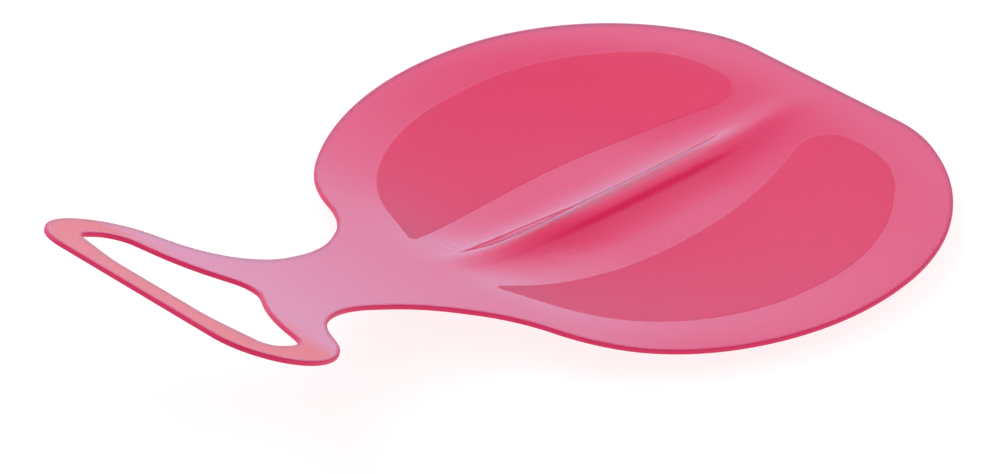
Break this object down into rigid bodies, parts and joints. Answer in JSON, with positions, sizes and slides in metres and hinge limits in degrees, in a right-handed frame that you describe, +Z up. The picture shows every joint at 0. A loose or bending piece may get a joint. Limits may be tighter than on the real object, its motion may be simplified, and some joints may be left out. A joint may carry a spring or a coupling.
{
  "type": "bum slider",
  "caption": "Shallow dished snow seat moulded as a single plastic sheet, with a ridge down its middle and a raised grip with a finger opening.",
  "frame": {"origin": "Middle of the slider's box, on the plane of the flats that it runs and rests on.", "axes": "+Y towards the straight tail edge, -Y towards the grip, X across the seat, +Z up from the seat."},
  "size_m": [0.3876, 0.5582, 0.1077],
  "materials": {
    "clear_pink_plastic": "glossy, see-through, with two duller seat zones"
  },
  "bodies": {
    "root": {"slider_sheet": "clear_pink_plastic"}
  },
  "joints": []
}
